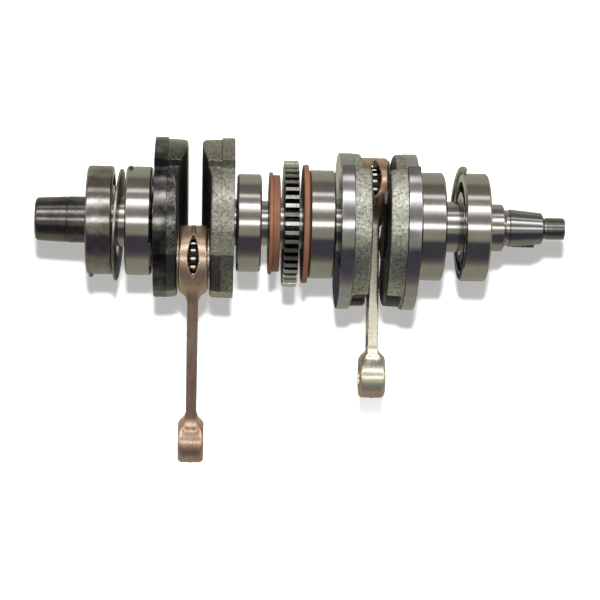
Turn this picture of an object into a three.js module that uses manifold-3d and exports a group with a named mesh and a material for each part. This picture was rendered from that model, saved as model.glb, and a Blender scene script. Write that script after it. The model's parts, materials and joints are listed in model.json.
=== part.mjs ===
import * as THREE from 'three';
import { mergeVertices } from 'three/addons/utils/BufferGeometryUtils.js';
import Module from 'manifold-3d';

// Pressed-up crankshaft of a two-cylinder two-stroke engine, in millimetres.
// +X runs along the crank axis towards the tapered magneto end and +Z is up.
// The origin is on the crank axis, between the two connecting rods.

const wasm = await Module();
wasm.setup();

// Driving dimensions.
const FIT = 0.3;                 // gap between pieces that touch
const THROW = 34;                // crank axis to crankpin axis
const ROD_LENGTH = 127;          // big eye to small eye
const CHEEK_GAP = 21.4;          // between the two cheeks of one throw, at the crankpin

// The two throws. A pin angle is in degrees about X from +Z, towards -Y, and a swing is how far
// the hanging rod leans to +Y. Each web is thicker at its counterweight than at its cheek; the
// ramp between the two runs along the pin direction.
const LEFT_THROW = {
  x: -60.6, pinAngle: 135, swing: 14.1, webThickness: 21.5, counterweightGap: 9.4,
  cheekRadius: 50.3, ramp: [-18.6, 8],
};
const RIGHT_THROW = {
  x: 60.1, pinAngle: -45, swing: -8, webThickness: 20.1, counterweightGap: 11.2,
  cheekRadius: 47.8, ramp: [-3, -0.5], hub: { radius: 24, gap: 8.4, clearance: 34.3 },
};

const JOURNAL_RADIUS = 17.35;
const WAIST_RADIUS = 16.9;
const MID_JOURNAL_RADIUS = 14.85;
const PIN_RADIUS = 12;

const COUNTERWEIGHT_RADIUS = 56;
const CHEEK_REACH = 87;          // where the cheek's rim ends, in degrees from the pin
const COUNTERWEIGHT_START = 91.5;
const TURNED_BAND = 8.5;         // width of the machined band on each counterweight's rim
const BAND_STEP = 1;             // how far that band stands above the forged one

const GEAR = { x: -1.7, width: 9.5, teeth: 44, tip: 41.85, root: 37.9 };

const MAIN_BEARING = {
  bore: 17.65, outer: 36, width: 17, pitch: 26.75, ball: 5.55, balls: 9,
  innerShoulder: 23.4, outerShoulder: 30.2, corner: 1.2,
};
const MID_BEARING = {
  bore: 15.15, outer: 32.5, width: 16, pitch: 23.8, ball: 4.75, balls: 9,
  innerShoulder: 20.9, outerShoulder: 26.8, corner: 1,
};
// Left face of each bearing along the crank, from the drive end.
const BEARINGS = [
  { name: 'pto_outer', type: MAIN_BEARING, x: -131.1, pin: { x: 2.6, angle: 180 } },
  { name: 'pto_inner', type: MAIN_BEARING, x: -105.6, pin: { x: 2.8, angle: 18 } },
  { name: 'center_small', type: MID_BEARING, x: -32.5 },
  { name: 'center_large', type: MAIN_BEARING, x: 15 },
  { name: 'mag_inner', type: MAIN_BEARING, x: 87.4 },
  { name: 'mag_outer', type: MAIN_BEARING, x: 116.8 },
];

const ROUND = 28;                // sides of a large round piece
const SMALL_ROUND = 20;

// Colours.
const STEEL = { color: 0xa9a9a4, roughness: 0.25, metalness: 1 };
const FORGED = { color: 0x4a4b46, roughness: 0.55, metalness: 0.9 };
const BROWNED = { color: 0x2c2627, roughness: 0.45, metalness: 0.9 };
const COPPERED = { color: 0xa9825a, roughness: 0.35, metalness: 0.9 };
const SEAL_ORANGE = { color: 0xa5522f, roughness: 0.55, metalness: 0 };
const BRASS = { color: 0xb9a468, roughness: 0.4, metalness: 0.9 };

const AXIS_X = new THREE.Vector3(1, 0, 0);
const AXIS_Y = new THREE.Vector3(0, 1, 0);
const AXIS_Z = new THREE.Vector3(0, 0, 1);
// Turns a drawing that runs up and then along +X, and is swept or thick along Y.
const UP_AND_ALONG = new THREE.Matrix4().makeBasis(AXIS_Z, AXIS_X, AXIS_Y);
// Turns a drawing in Y and Z that is thick along X.
const ACROSS = new THREE.Matrix4().makeBasis(AXIS_Y, AXIS_Z, AXIS_X);

const radians = THREE.MathUtils.degToRad;

// A closed geometry as a solid that can be joined and cut.
function solid(geometry) {
  const bare = geometry.clone();
  bare.deleteAttribute('normal');
  bare.deleteAttribute('uv');
  const merged = mergeVertices(bare, 1e-4);
  const corners = merged.index.array;
  const kept = [];
  for (let i = 0; i < corners.length; i += 3) {
    const [a, b, c] = corners.slice(i, i + 3);
    if (a !== b && b !== c && c !== a) kept.push(a, b, c);
  }
  return new wasm.Manifold(new wasm.Mesh({
    numProp: 3,
    vertProperties: new Float32Array(merged.attributes.position.array),
    triVerts: Uint32Array.from(kept),
  }));
}

// A solid back as a geometry for a mesh.
function geometryOf(body) {
  const mesh = body.getMesh();
  const geometry = new THREE.BufferGeometry();
  geometry.setAttribute('position', new THREE.BufferAttribute(mesh.vertProperties, 3));
  geometry.setIndex(new THREE.BufferAttribute(mesh.triVerts, 1));
  geometry.computeVertexNormals();
  return geometry;
}

// A turned piece about X. The profile lists [x, radius], and its outside runs towards +X.
function turned(profile, sides = ROUND) {
  const points = profile.map(([x, radius]) => new THREE.Vector2(radius, x));
  return new THREE.LatheGeometry(points, sides).applyMatrix4(UP_AND_ALONG);
}

function closedRing(profile, sides = ROUND) {
  return turned([...profile, profile[0]], sides);
}

// A plain round bar about X, from x0 to x1.
function bar(x0, x1, radius, sides = ROUND) {
  return turned([[x0, 0], [x0, radius], [x1, radius], [x1, 0]], sides);
}

// A flat outline in Y and Z, thick along X from x0 to x1.
function slab(shape, x0, x1, curveSegments = 12) {
  const options = { depth: x1 - x0, bevelEnabled: false, curveSegments };
  return new THREE.ExtrudeGeometry(shape, options).applyMatrix4(ACROSS).translate(x0, 0, 0);
}

function shapeOf(points) {
  return new THREE.Shape(points.map(([x, y]) => new THREE.Vector2(x, y)));
}

function piece(name, geometry, finish) {
  const mesh = new THREE.Mesh(geometry, new THREE.MeshStandardMaterial(finish));
  mesh.name = name;
  return mesh;
}

// Outline of a web in Y and Z with the pin towards +Z: the cheek's rim, then the
// counterweight's rim, drawn in by the step.
function webOutline(cheekRadius, step) {
  const points = [];
  const addArc = (from, to, sides, radius) => {
    for (let i = 0; i <= sides; i += 1) {
      const angle = radians(THREE.MathUtils.lerp(from, to, i / sides));
      points.push([-radius * Math.sin(angle), radius * Math.cos(angle)]);
    }
  };
  addArc(-CHEEK_REACH, CHEEK_REACH, 18, cheekRadius);
  addArc(COUNTERWEIGHT_START, 360 - COUNTERWEIGHT_START, 18, COUNTERWEIGHT_RADIUS - step);
  return shapeOf(points);
}

// Puts a web that is modelled with its outer face at x = 0, its inner face at +X and its
// pin towards +Z at its place on the crank. Facing is 1 or -1, towards the inner face.
function webPlace(outerFace, facing, pinAngle) {
  const place = new THREE.Matrix4().makeTranslation(outerFace, 0, 0);
  place.multiply(new THREE.Matrix4().makeRotationX(radians(pinAngle)));
  if (facing < 0) place.multiply(new THREE.Matrix4().makeRotationZ(Math.PI));
  return place;
}

// One crank web: a turned band, a forged band, the cheek set back on the pin side along the
// ramp, a hub round the crank axis on some, and the bore for the crankpin.
function web(outerFace, facing, shape) {
  const { webThickness, counterweightGap, cheekRadius, hub } = shape;
  const place = webPlace(outerFace, facing, shape.pinAngle);
  const turnedPlate = slab(webOutline(cheekRadius, 0), 0, TURNED_BAND);
  const forgedPlate = slab(webOutline(cheekRadius, BAND_STEP), TURNED_BAND - 1, webThickness);
  const cheek = webThickness - (CHEEK_GAP - counterweightGap) / 2;
  const [rampLow, rampHigh] = shape.ramp;
  const ramp = shapeOf([[webThickness, rampLow], [webThickness + 5, rampLow],
    [webThickness + 5, 70], [cheek, 70], [cheek, rampHigh]]);
  const reach = 2 * COUNTERWEIGHT_RADIUS + 20;
  const rampCut = new THREE.ExtrudeGeometry(ramp, { depth: reach, bevelEnabled: false })
    .translate(0, 0, -reach / 2)
    .rotateX(Math.PI / 2);
  const pinBore = bar(-5, webThickness + 5, PIN_RADIUS + FIT, SMALL_ROUND).translate(0, 0, THROW);
  let body = solid(turnedPlate)
    .add(solid(forgedPlate))
    .subtract(solid(rampCut));
  if (hub) {
    const hubFace = webThickness + (counterweightGap - hub.gap) / 2;
    const pocket = turned([[cheek, 0], [cheek, 24], [webThickness, 30], [hubFace, hub.clearance],
      [hubFace + 5, hub.clearance], [hubFace + 5, 0]]).translate(0, 0, THROW);
    body = body.add(solid(bar(cheek - 2, hubFace, hub.radius))).subtract(solid(pocket));
  }
  return solid(geometryOf(body.subtract(solid(pinBore))).applyMatrix4(place));
}

// Half of a throw, from the rod's middle to a web's outer face.
function halfThrow({ webThickness, counterweightGap }) {
  return counterweightGap / 2 + webThickness;
}

// Outer faces of the four webs, from the drive end.
const WEB_FACES = [
  LEFT_THROW.x - halfThrow(LEFT_THROW),
  LEFT_THROW.x + halfThrow(LEFT_THROW),
  RIGHT_THROW.x - halfThrow(RIGHT_THROW),
  RIGHT_THROW.x + halfThrow(RIGHT_THROW),
];

// Left face of a named bearing.
function bearingFace(name) {
  return BEARINGS.find((bearing) => bearing.name === name).x;
}

const PTO_END = -165.5;
const MAG_END = 186.7;
const CENTER_DRILL = { radius: 3, depth: 3.5 };
const WEB_BORE_DEPTH = 14;       // press fit of the centre journal in its web

function ptoHalfShaft() {
  const face = WEB_FACES[0];
  const shaft = turned([
    [PTO_END + CENTER_DRILL.depth, 0], [PTO_END, CENTER_DRILL.radius], [PTO_END, 12.8],
    [PTO_END + 1.4, 14.2], [-144.8, 15.2], [-144.4, 14.9], [-144, 14.9], [-143.6, 15.35],
    [-131.6, 15.35], [-131.4, JOURNAL_RADIUS], [face - 1.5, JOURNAL_RADIUS],
    [face - 1.5, 20.5], [face + 4, 20.5], [face + 4, 0],
  ]);
  return web(face, 1, LEFT_THROW).add(solid(shaft));
}

function centerHalfShaft() {
  const face = WEB_FACES[1];
  const shoulder = bearingFace('center_small') - FIT;
  const shaft = turned([
    [face - 4, 0], [face - 4, 15.6], [shoulder, 15.6], [shoulder, MID_JOURNAL_RADIUS],
    [-11.8, MID_JOURNAL_RADIUS], [-11.6, JOURNAL_RADIUS],
    [WEB_FACES[2] + WEB_BORE_DEPTH - FIT, JOURNAL_RADIUS],
    [WEB_FACES[2] + WEB_BORE_DEPTH - FIT, 0],
  ]);
  return web(face, -1, LEFT_THROW).add(solid(shaft));
}

function centerWeb() {
  const face = WEB_FACES[2];
  const bore = bar(face - 5, face + WEB_BORE_DEPTH, JOURNAL_RADIUS + FIT);
  return web(face, 1, RIGHT_THROW).subtract(solid(bore));
}

// Flywheel taper: 1 in 5 on the diameter.
const TAPER = { start: 149.5, end: 171.1, radius: 12.6, slope: 0.1 };
const THREAD = { start: 173.7, radius: 7.35 };
const KEY = { x: 160, angle: 204, thickness: 4, radius: 7.5, proud: 1.6 };

function magHalfShaft() {
  const face = WEB_FACES[3];
  const shoulder = bearingFace('mag_inner') - FIT;
  const smallEnd = TAPER.radius - (TAPER.end - TAPER.start) * TAPER.slope;
  const shaft = turned([
    [face - 4, 0], [face - 4, 20.5], [shoulder, 20.5], [shoulder, JOURNAL_RADIUS],
    [105, JOURNAL_RADIUS], [105.3, WAIST_RADIUS], [116.3, WAIST_RADIUS], [116.6, JOURNAL_RADIUS],
    [134, JOURNAL_RADIUS], [134.1, 15.7], [144.6, 15.7], [146.4, 12.2], [146.9, 11.9],
    [148.9, 11.9], [TAPER.start, TAPER.radius], [TAPER.end, smallEnd], [172.8, 7.6],
    [173, 6.4], [THREAD.start, 6.4], [THREAD.start + 0.8, THREAD.radius],
    [MAG_END - 1, THREAD.radius], [MAG_END, 6.3], [MAG_END, 2.5], [MAG_END - 2.5, 0],
  ]);
  const slot = keyBody(KEY.radius + FIT, KEY.thickness + 2 * FIT, 8);
  return web(face, -1, RIGHT_THROW).add(solid(shaft)).subtract(solid(slot));
}

// A half-moon key: a disc cut off flat at the height that it stands proud of its centre.
function keyBody(radius, thickness, height) {
  const shape = new THREE.Shape();
  if (height < radius) {
    const edge = Math.asin(height / radius);
    shape.absarc(0, 0, radius, Math.PI - edge, 2 * Math.PI + edge, false);
  } else {
    shape.moveTo(radius, 0);
    shape.lineTo(radius, height);
    shape.lineTo(-radius, height);
    shape.lineTo(-radius, 0);
    shape.absarc(0, 0, radius, Math.PI, 2 * Math.PI, false);
  }
  const center = TAPER.radius - (KEY.x - TAPER.start) * TAPER.slope;
  return new THREE.ExtrudeGeometry(shape, { depth: thickness, bevelEnabled: false, curveSegments: 10 })
    .translate(0, 0, -thickness / 2)
    .rotateX(Math.PI / 2)
    .translate(KEY.x, 0, center)
    .rotateX(radians(KEY.angle));
}

function driveGear() {
  const points = [];
  const step = 360 / GEAR.teeth;
  for (let tooth = 0; tooth < GEAR.teeth; tooth += 1) {
    const middle = tooth * step;
    const corners = [[-0.31, GEAR.root], [-0.22, GEAR.tip], [0.22, GEAR.tip], [0.31, GEAR.root]];
    for (const [share, radius] of corners) {
      const angle = radians(middle + share * step);
      points.push([radius * Math.cos(angle), radius * Math.sin(angle)]);
    }
  }
  const bore = bar(GEAR.x - 5, GEAR.x + GEAR.width + 5, JOURNAL_RADIUS + FIT);
  return solid(slab(shapeOf(points), GEAR.x, GEAR.x + GEAR.width)).subtract(solid(bore));
}

// Bearing pieces, with the left face at x = 0.
const RACE_GAP = 0.55;           // running gap between a ball and its groove

function grooveProfile(type, side) {
  const middle = type.width / 2;
  const reach = type.ball + RACE_GAP;
  const shoulder = side > 0 ? type.outerShoulder : type.innerShoulder;
  const rise = Math.abs(shoulder - type.pitch);
  const half = Math.sqrt(reach * reach - rise * rise);
  const points = [];
  const steps = 3;
  const edge = Math.atan2(half, rise);
  for (let i = 0; i <= steps; i += 1) {
    const angle = THREE.MathUtils.lerp(-edge, edge, i / steps);
    points.push([middle + reach * Math.sin(angle), type.pitch + side * reach * Math.cos(angle)]);
  }
  return points;
}

function outerRace(type) {
  const { width, outer, corner, outerShoulder } = type;
  const groove = grooveProfile(type, 1).reverse();
  return closedRing([
    [0, outer - corner], [corner, outer], [width - corner, outer], [width, outer - corner],
    [width, outerShoulder], ...groove, [0, outerShoulder],
  ]);
}

function innerRace(type) {
  const { width, bore, innerShoulder } = type;
  const groove = grooveProfile(type, -1);
  return closedRing([
    [0, bore], [0, innerShoulder], ...groove, [width, innerShoulder], [width, bore],
  ], 24);
}

// Balls held in a thin cage that runs through their middles.
function ballSet(type) {
  const middle = type.width / 2;
  const cage = [[middle - 3.4, type.pitch - 0.9], [middle - 3.4, type.pitch + 0.9],
    [middle + 3.4, type.pitch + 0.9], [middle + 3.4, type.pitch - 0.9]];
  let body = solid(closedRing(cage, 2 * type.balls));
  for (let i = 0; i < type.balls; i += 1) {
    const angle = (2 * Math.PI * i) / type.balls;
    const ball = new THREE.OctahedronGeometry(type.ball, 1);
    ball.translate(middle, type.pitch * Math.cos(angle), type.pitch * Math.sin(angle));
    body = body.add(solid(ball));
  }
  return geometryOf(body);
}

// Rod pieces, with the crankpin axis through the origin and the small eye towards -Z.
const ROD = {
  bigRadius: 22, bigBore: 15.8, bigWidth: 18,
  smallRadius: 14.5, smallBore: 11.3, smallWidth: 17.4,
  beamThickness: 7, beamTop: 25, beamBottom: 17.5, channel: 1.9,
};

function disc(y, z, radius) {
  return new THREE.Shape().absarc(y, z, radius, 0, 2 * Math.PI, false);
}

// Front outline of the rod, in X and Z: wide at both eyes, thin along the beam.
function rodFront() {
  const big = ROD.bigWidth / 2;
  const beam = ROD.beamThickness / 2;
  const small = ROD.smallWidth / 2;
  const smallTop = -ROD_LENGTH + ROD.smallRadius - 1;
  const side = new THREE.Path();
  side.moveTo(ROD.bigRadius + 1, big);
  side.lineTo(-ROD.bigRadius + 3, big);
  side.quadraticCurveTo(-ROD.bigRadius - 3, beam + 0.5, -ROD.bigRadius - 13, beam);
  side.lineTo(smallTop + 13, beam);
  side.quadraticCurveTo(smallTop + 4, beam + 0.5, smallTop, small);
  side.lineTo(-ROD_LENGTH - ROD.smallRadius - 1, small);
  const half = side.getPoints(5);
  const other = half.map((point) => new THREE.Vector2(point.x, -point.y)).reverse();
  return new THREE.Shape([...half, ...other]);
}

// Side outline of the beam, in Y and Z, running into both eyes.
function beamOutline() {
  const top = ROD.beamTop / 2;
  const bottom = ROD.beamBottom / 2;
  return shapeOf([[-top - 2, -12], [-top, -26], [-bottom, -ROD_LENGTH + 18],
    [-bottom - 1.5, -ROD_LENGTH + 9], [bottom + 1.5, -ROD_LENGTH + 9],
    [bottom, -ROD_LENGTH + 18], [top, -26], [top + 2, -12]]);
}

// The hollow along each side of the I-section.
function channelOutline() {
  return shapeOf([[-8.6, -38], [-5.4, -ROD_LENGTH + 28], [5.4, -ROD_LENGTH + 28], [8.6, -38]]);
}

function connectingRod() {
  const wide = ROD.bigWidth / 2 + 1;
  const beam = ROD.beamThickness / 2;
  const eyes = solid(slab(disc(0, 0, ROD.bigRadius), -wide, wide, 16))
    .add(solid(slab(disc(0, -ROD_LENGTH, ROD.smallRadius), -wide, wide, 12)));
  const side = eyes.add(solid(slab(beamOutline(), -wide, wide)));
  const depth = 2 * ROD.bigRadius + 10;
  const front = new THREE.ExtrudeGeometry(rodFront(), { depth, bevelEnabled: false })
    .translate(0, 0, -depth / 2)
    .applyMatrix4(UP_AND_ALONG);
  const slotPath = new THREE.Shape();
  slotPath.moveTo(-7.2, 0);
  slotPath.quadraticCurveTo(5.8, 7.2, 18.8, 0);
  slotPath.quadraticCurveTo(5.8, -7.2, -7.2, 0);
  const slot = new THREE.ExtrudeGeometry(slotPath, { depth, bevelEnabled: false, curveSegments: 5 })
    .translate(0, 0, -depth / 2)
    .applyMatrix4(UP_AND_ALONG);
  return side
    .intersect(solid(front))
    .subtract(solid(slab(channelOutline(), beam - ROD.channel, beam + 3)))
    .subtract(solid(slab(channelOutline(), -beam - 3, -beam + ROD.channel)))
    .subtract(solid(bar(-wide, wide, ROD.bigBore)))
    .subtract(solid(bar(-wide, wide, ROD.smallBore, 24).translate(0, 0, -ROD_LENGTH)))
    .subtract(solid(slot));
}

// Needle rollers of the big end in their cage.
const NEEDLES = { count: 16, radius: 1.6, pitch: 13.9, length: 13.8, cageWidth: 16.4 };

function needleSet() {
  const half = NEEDLES.cageWidth / 2;
  let body = solid(closedRing([[-half, 13.2], [-half, 14.7], [half, 14.7], [half, 13.2]], NEEDLES.count));
  for (let i = 0; i < NEEDLES.count; i += 1) {
    const angle = (2 * Math.PI * i) / NEEDLES.count;
    const needle = bar(-NEEDLES.length / 2, NEEDLES.length / 2, NEEDLES.radius, 6);
    needle.translate(0, NEEDLES.pitch * Math.cos(angle), NEEDLES.pitch * Math.sin(angle));
    body = body.add(solid(needle));
  }
  return geometryOf(body);
}

const THRUST_WASHER = { inner: 12.4, outer: 20, thickness: 1 };

function thrustWasher() {
  const { inner, outer, thickness } = THRUST_WASHER;
  return closedRing([[0, inner], [0, outer], [thickness, outer], [thickness, inner]], SMALL_ROUND);
}

// Crankpin, needles, washers and rod of one throw, in a group centred on the pin.
function throwGroup(side, shape) {
  const pinAngle = radians(shape.pinAngle);
  const group = new THREE.Group();
  group.position.set(shape.x, -THROW * Math.sin(pinAngle), THROW * Math.cos(pinAngle));
  const half = halfThrow(shape) - FIT;
  group.add(piece(`${side}_crankpin`, turned([[-half, 0], [-half, PIN_RADIUS - 1],
    [-half + 1, PIN_RADIUS], [half - 1, PIN_RADIUS], [half, PIN_RADIUS - 1], [half, 0]],
  SMALL_ROUND), STEEL));
  group.add(piece(`${side}_big_end_needles`, needleSet(), BRASS));
  const gap = ROD.bigWidth / 2 + 0.35;
  const washerPlaces = { a: -gap - THRUST_WASHER.thickness, b: gap };
  for (const [letter, place] of Object.entries(washerPlaces)) {
    const washer = piece(`${side}_thrust_washer_${letter}`, thrustWasher(), BRASS);
    washer.position.x = place;
    group.add(washer);
  }
  const rod = piece(`${side}_connecting_rod`, geometryOf(connectingRod()), COPPERED);
  rod.rotation.x = radians(shape.swing);
  group.add(rod);
  return group;
}

// A bearing as its own group: two races, a ball set and, on some, a locating pin that
// stands out of the outer race.
function bearingGroup({ name, type, x, pin }) {
  const group = new THREE.Group();
  group.position.x = x;
  group.add(piece(`${name}_inner_race`, innerRace(type), STEEL));
  group.add(piece(`${name}_ball_set`, ballSet(type), STEEL));
  if (!pin) {
    group.add(piece(`${name}_outer_race`, outerRace(type), STEEL));
    return group;
  }
  const turn = new THREE.Matrix4().makeRotationX(radians(pin.angle));
  const hole = new THREE.CylinderGeometry(1.7, 1.7, 4, 12).rotateX(Math.PI / 2);
  hole.translate(pin.x, 0, type.outer).applyMatrix4(turn);
  const race = solid(outerRace(type)).subtract(solid(hole));
  group.add(piece(`${name}_outer_race`, geometryOf(race), STEEL));
  const dowel = new THREE.CylinderGeometry(1.4, 1.4, 3.6, 12).rotateX(Math.PI / 2);
  dowel.translate(pin.x, 0, type.outer + 0.2).applyMatrix4(turn);
  group.add(piece(`${name}_locating_pin`, dowel, BROWNED));
  return group;
}

// Seal rings either side of the gear; they stay still in the case while the crank turns.
const SEAL_BORE = JOURNAL_RADIUS + 0.4;

function leftSeal() {
  return closedRing([[-11.3, SEAL_BORE], [-11.3, 33.6], [-10.9, 34], [-9.1, 34], [-8.8, 32.25],
    [-4.6, 32.25], [-4.2, 31.8], [-4.2, SEAL_BORE]]);
}

function rightSeal() {
  return closedRing([[11, SEAL_BORE], [11, 38.9], [11.6, 39.5], [14.1, 39.5], [14.6, 39],
    [14.6, SEAL_BORE]]);
}

// Flat ring that hangs loose on the journal between the two drive-end bearings.
const LOOSE_RING = { x: -110.6, outer: 37.1, hole: 20.8, thickness: 1.5, drop: 2.9 };

function looseRing() {
  const { outer, hole, thickness } = LOOSE_RING;
  const half = thickness / 2;
  const ring = closedRing([[-half, hole], [-half, outer - 0.4], [-half + 0.4, outer],
    [half - 0.4, outer], [half, outer - 0.4], [half, hole]]);
  const mesh = piece('loose_retaining_ring', ring, STEEL);
  mesh.position.set(LOOSE_RING.x, 0, -LOOSE_RING.drop);
  mesh.rotation.set(0, radians(2.6), radians(-2.5));
  return mesh;
}

// Half ring that holds the magneto-end bearing endways, hanging loose over its left edge.
const HALF_RING = { x: 117.9, inner: 36.5, outer: 40.5, thickness: 2, from: -14, to: 100 };

function halfRing() {
  const { inner, outer, thickness, from, to } = HALF_RING;
  const start = Math.PI / 2 - radians(from);
  const end = Math.PI / 2 - radians(to);
  const shape = new THREE.Shape();
  shape.absarc(0, 0, outer, start, end, true);
  shape.absarc(0, 0, inner, end, start, false);
  const mesh = piece('half_retaining_ring', slab(shape, -thickness / 2, thickness / 2, 24), STEEL);
  mesh.position.x = HALF_RING.x;
  mesh.rotation.z = radians(3.7);
  return mesh;
}

const crankshaft = new THREE.Group();
crankshaft.add(piece('pto_half_shaft', geometryOf(ptoHalfShaft()), FORGED));
crankshaft.add(piece('center_half_shaft', geometryOf(centerHalfShaft()), FORGED));
crankshaft.add(piece('center_web', geometryOf(centerWeb()), FORGED));
crankshaft.add(piece('mag_half_shaft', geometryOf(magHalfShaft()), FORGED));
crankshaft.add(piece('drive_gear', geometryOf(driveGear()), STEEL));
crankshaft.add(piece('woodruff_key', keyBody(KEY.radius, KEY.thickness, KEY.proud), STEEL));
crankshaft.add(throwGroup('left', LEFT_THROW));
crankshaft.add(throwGroup('right', RIGHT_THROW));
for (const bearing of BEARINGS) crankshaft.add(bearingGroup(bearing));
crankshaft.add(piece('left_center_seal', leftSeal(), SEAL_ORANGE));
crankshaft.add(piece('right_center_seal', rightSeal(), SEAL_ORANGE));
crankshaft.add(looseRing());
crankshaft.add(halfRing());

export default crankshaft;
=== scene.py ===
import json
import math

import bmesh
import bpy
import numpy as np
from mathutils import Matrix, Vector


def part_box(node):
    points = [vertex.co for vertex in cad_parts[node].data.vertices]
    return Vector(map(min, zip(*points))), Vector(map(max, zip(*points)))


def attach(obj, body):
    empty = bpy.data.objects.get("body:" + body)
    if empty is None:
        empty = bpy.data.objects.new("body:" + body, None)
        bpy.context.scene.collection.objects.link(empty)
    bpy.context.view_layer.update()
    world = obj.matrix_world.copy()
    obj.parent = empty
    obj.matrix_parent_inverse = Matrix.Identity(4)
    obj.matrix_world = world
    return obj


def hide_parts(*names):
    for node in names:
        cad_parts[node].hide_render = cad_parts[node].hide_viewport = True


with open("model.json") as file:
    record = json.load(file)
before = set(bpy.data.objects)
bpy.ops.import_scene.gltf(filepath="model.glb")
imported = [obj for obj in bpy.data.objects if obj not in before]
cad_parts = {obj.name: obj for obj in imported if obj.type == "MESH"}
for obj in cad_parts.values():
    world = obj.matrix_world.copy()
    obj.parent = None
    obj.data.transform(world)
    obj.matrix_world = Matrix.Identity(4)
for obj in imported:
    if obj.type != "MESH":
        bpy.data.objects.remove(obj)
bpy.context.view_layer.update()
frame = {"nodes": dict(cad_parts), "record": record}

import openvdb
from mathutils import Matrix, Vector, noise

# Looks of a pressed-up two-cylinder crankshaft. Every length below is in millimetres, in the
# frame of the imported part: +X along the crank axis towards the magneto end, +Z up.
# An angle about the crank axis is in degrees from +Z towards -Y.
MM = 0.001


# ------------------------------------------------------------------ places from the frame

def span(node):
    """Lowest and highest corner of a CAD node."""
    low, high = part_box(node)
    return np.array(low) / MM, np.array(high) / MM


def ends(node):
    """Where a CAD node starts and ends along the crank."""
    low, high = span(node)
    return low[0], high[0]


def outer_radius(node):
    low, high = span(node)
    return (high[2] - low[2]) / 2


def centre(node):
    low, high = span(node)
    return (low + high) / 2


def mount(name):
    """Place of one of the record's mounts."""
    found = next(m for m in frame["record"]["mounts"] if m["name"] == name)
    return np.array(found["pos_m"]) / MM


# ------------------------------------------------------------------ mesh making

def smooth(value, low, high):
    """0 below low, 1 above high, with a smooth run between."""
    t = np.clip((value - low) / (high - low), 0, 1)
    return t * t * (3 - 2 * t)


def mesh_of(name, points, faces, sharp=32):
    """A closed mesh with outward faces, smooth apart from its sharp edges."""
    mesh = bpy.data.meshes.new(name)
    mesh.from_pydata((np.asarray(points, float) * MM).tolist(), [], faces)
    work = bmesh.new()
    work.from_mesh(mesh)
    bmesh.ops.remove_doubles(work, verts=work.verts, dist=1e-6)
    bmesh.ops.dissolve_degenerate(work, edges=work.edges, dist=1e-7)
    bmesh.ops.recalc_face_normals(work, faces=work.faces)
    work.to_mesh(mesh)
    work.free()
    mesh.shade_smooth()
    mesh.set_sharp_from_angle(angle=math.radians(sharp))
    return mesh


def loft(rings, around=True, closed=False):
    """Points and faces over sections: around joins the last section to the first, and closed
    joins each section's ends. Sections that aren't joined around get a cap at each end."""
    rings = np.asarray(rings, float)
    count, size = rings.shape[:2]
    index = np.arange(count * size).reshape(count, size)
    here = index if around else index[:-1]
    there = np.roll(index, -1, axis=0) if around else index[1:]
    if closed:
        corners = [here, there, np.roll(there, -1, axis=1), np.roll(here, -1, axis=1)]
    else:
        corners = [here[:, :-1], there[:, :-1], there[:, 1:], here[:, 1:]]
    faces = np.stack(corners, axis=-1).reshape(-1, 4).tolist()
    if not around:
        faces += [index[0].tolist(), index[-1].tolist()]
    return rings.reshape(-1, 3), faces


def around_axis(x, radius, angle):
    """Points at an angle in radians about the crank axis."""
    return np.stack(np.broadcast_arrays(x, -radius * np.sin(angle), radius * np.cos(angle)), axis=-1)


def turns(steps):
    return np.linspace(0, 2 * math.pi, steps, endpoint=False)[:, None]


def soften(profile, size=0.4, closed=False, steps=4):
    """The profile with each real corner drawn as a small round."""
    points = [np.array(p, float) for p in profile]
    count = len(points)
    made = []
    for i, corner in enumerate(points):
        if not closed and i in (0, count - 1):
            made.append(corner)
            continue
        back = points[i - 1] - corner
        ahead = points[(i + 1) % count] - corner
        room = min(np.linalg.norm(back), np.linalg.norm(ahead)) * 0.42
        back, ahead = back / np.linalg.norm(back), ahead / np.linalg.norm(ahead)
        if back @ ahead < -0.97 or room < 1e-3:
            made.append(corner)
            continue
        reach = min(size, room)
        start, end = corner + back * reach, corner + ahead * reach
        made.append(start + back * min(reach * 0.2, room * 0.1))
        for t in np.linspace(0, 1, steps + 1):
            made.append(start * (1 - t) ** 2 + corner * 2 * t * (1 - t) + end * t * t)
        made.append(end + ahead * min(reach * 0.2, room * 0.1))
    return np.array(made)


def lathe(name, profile, size=0.4, closed=False, steps=192, sharp=32):
    """A turned body about the crank axis, from a profile of [x, radius]."""
    drawn = soften(profile, size, closed)
    rings = around_axis(drawn[None, :, 0], drawn[None, :, 1], turns(steps))
    return mesh_of(name, *loft(rings, closed=closed), sharp=sharp)


def moved(mesh, x=0, y=0, z=0, turn=0):
    """The mesh turned about X by degrees, then moved."""
    mesh.transform(Matrix.Translation(Vector((x, y, z)) * MM) @ Matrix.Rotation(math.radians(turn), 4, "X"))
    return mesh


def joined(name, meshes):
    """Several meshes as one."""
    work = bmesh.new()
    for mesh in meshes:
        work.from_mesh(mesh)
    whole = bpy.data.meshes.new(name)
    work.to_mesh(whole)
    work.free()
    return whole


def paint(mesh, name, value):
    """Writes a mark for the material on the mesh's points."""
    mark = mesh.attributes.new(name, "FLOAT", "POINT")
    mark.data.foreach_set("value", np.asarray(value, np.float32))


def add_piece(mesh, finish, body, slot, *nodes):
    """The mesh as a piece that rides on a body and stands for CAD nodes."""
    piece = bpy.data.objects.new(mesh.name, mesh)
    bpy.context.scene.collection.objects.link(piece)
    mesh.materials.clear()
    mesh.materials.append(finish)
    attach(piece, body)
    if nodes:
        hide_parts(*nodes)
    return piece


# ------------------------------------------------------------------ materials

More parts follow.
